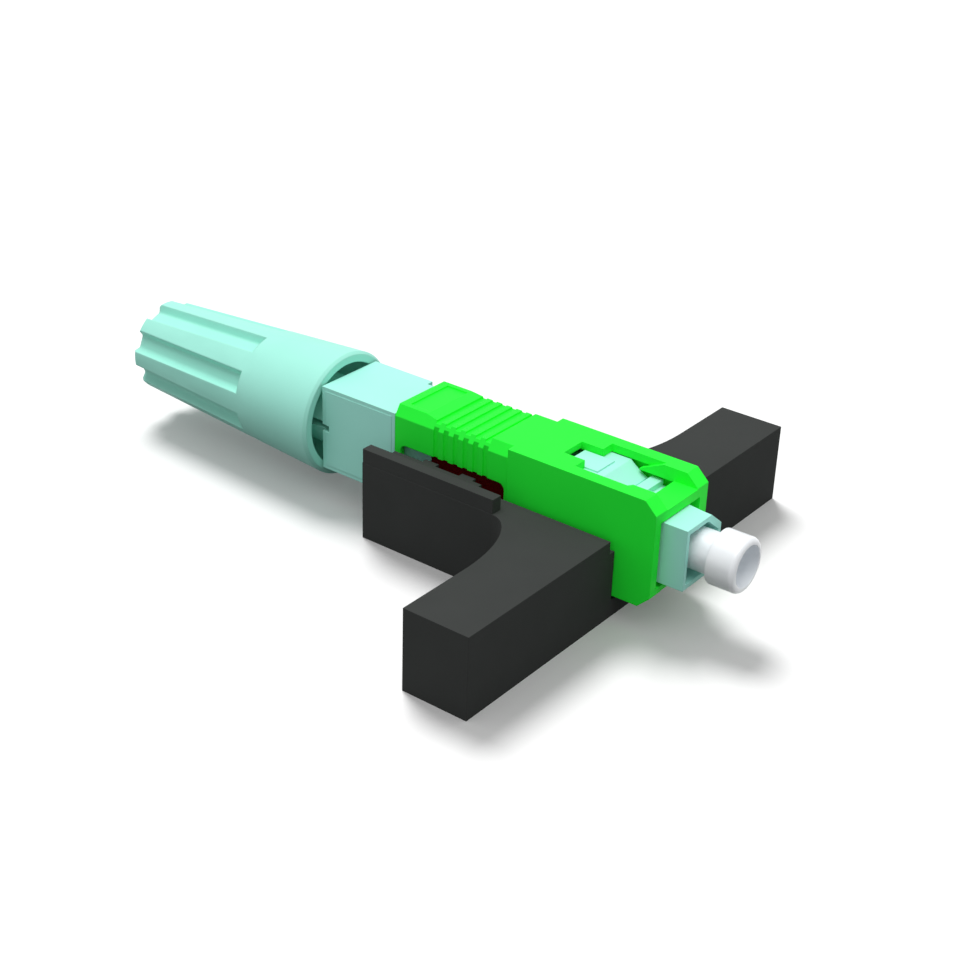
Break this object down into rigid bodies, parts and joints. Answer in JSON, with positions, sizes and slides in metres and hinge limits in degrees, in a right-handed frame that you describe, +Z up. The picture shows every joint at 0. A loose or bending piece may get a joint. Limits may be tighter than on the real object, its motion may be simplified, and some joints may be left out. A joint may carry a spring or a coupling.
{
  "type": "field-fitted fibre optic connector with its splice-opening tool",
  "caption": "Push-pull fibre plug with a square sleeve, capped ferrule, mechanical splice and screw cable clamp, held in a T-handled tool that keeps the splice open.",
  "frame": {"origin": "on the ferrule's axis, in the plane of the outer sleeve's front face", "axes": "+X along the ferrule towards its tip, +Z up from the surface that the tool lies on, +Y towards the keyed side"},
  "size_m": [0.0616, 0.043, 0.0119],
  "materials": {
    "ceramic": "polished white zirconia",
    "nickel_brass": "nickel-plated turned brass",
    "glass_fibre": "drawn silica fibre",
    "spring_steel": "spring steel, bright",
    "pale_turquoise": "moulded, smooth satin",
    "green": "moulded, smooth satin",
    "clear_plastic": "clear moulded plastic",
    "dark_red": "moulded, very dark red",
    "white": "moulded, smooth satin",
    "black": "moulded, dull charcoal black"
  },
  "bodies": {
    "connector": {"rear_body": "pale_turquoise", "splice_holder": "dark_red", "plug_frame": "pale_turquoise", "fibre_guide": "pale_turquoise"},
    "ferrule_unit": {"ferrule": "ceramic", "ferrule_flange": "nickel_brass", "tail_tube": "nickel_brass", "fibre_stub": "glass_fibre", "ferrule_spring": "spring_steel", "splice_base": "clear_plastic", "splice_clip_rear": "spring_steel", "splice_clip_front": "spring_steel"},
    "splice_covers": {"splice_cover_rear": "clear_plastic", "splice_cover_front": "clear_plastic"},
    "sleeve": {"outer_sleeve": "green"},
    "grip": {"grip_bush": "black"},
    "nut": {"clamp_nut": "pale_turquoise"},
    "cap": {"dust_cap": "white"},
    "tool": {"tool_handle": "black", "wedge_insert": "black"}
  },
  "joints": [
    {"name": "ferrule_float", "type": "slide", "parent": "connector", "child": "ferrule_unit", "axis": [-1, 0, 0], "range_m": [0, 0.0008], "stiffness_N_per_m": 1500, "springref_m": -0.004, "deforming": ["ferrule_spring"]},
    {"name": "cover_close", "type": "slide", "parent": "ferrule_unit", "child": "splice_covers", "axis": [0, -1, 0], "range_m": [0, 0.00005]},
    {"name": "sleeve_slide", "type": "slide", "parent": "connector", "child": "sleeve", "axis": [1, 0, 0], "range_m": [0, 0.0016]},
    {"name": "nut_advance", "type": "slide", "parent": "connector", "child": "grip", "axis": [-1, 0, 0], "range_m": [0, 0.004]},
    {"name": "nut_turn", "type": "hinge", "parent": "grip", "child": "nut", "pos_m": [-0.0445, 0, 0], "axis": [-1, 0, 0], "range_deg": [0, 1440]},
    {"name": "cap_pull", "type": "slide", "parent": "ferrule_unit", "child": "cap", "axis": [1, 0, 0], "range_m": [0, 0.009]},
    {"name": "tool_pull", "type": "slide", "parent": "connector", "child": "tool", "axis": [0, 0, -1], "range_m": [0, 0.012]}
  ],
  "couplings": [
    {"joint": "nut_turn", "follows": "nut_advance", "rad_per_m": 6283.2},
    {"joint": "cover_close", "follows": "tool_pull", "ratio": 0.0041667}
  ]
}
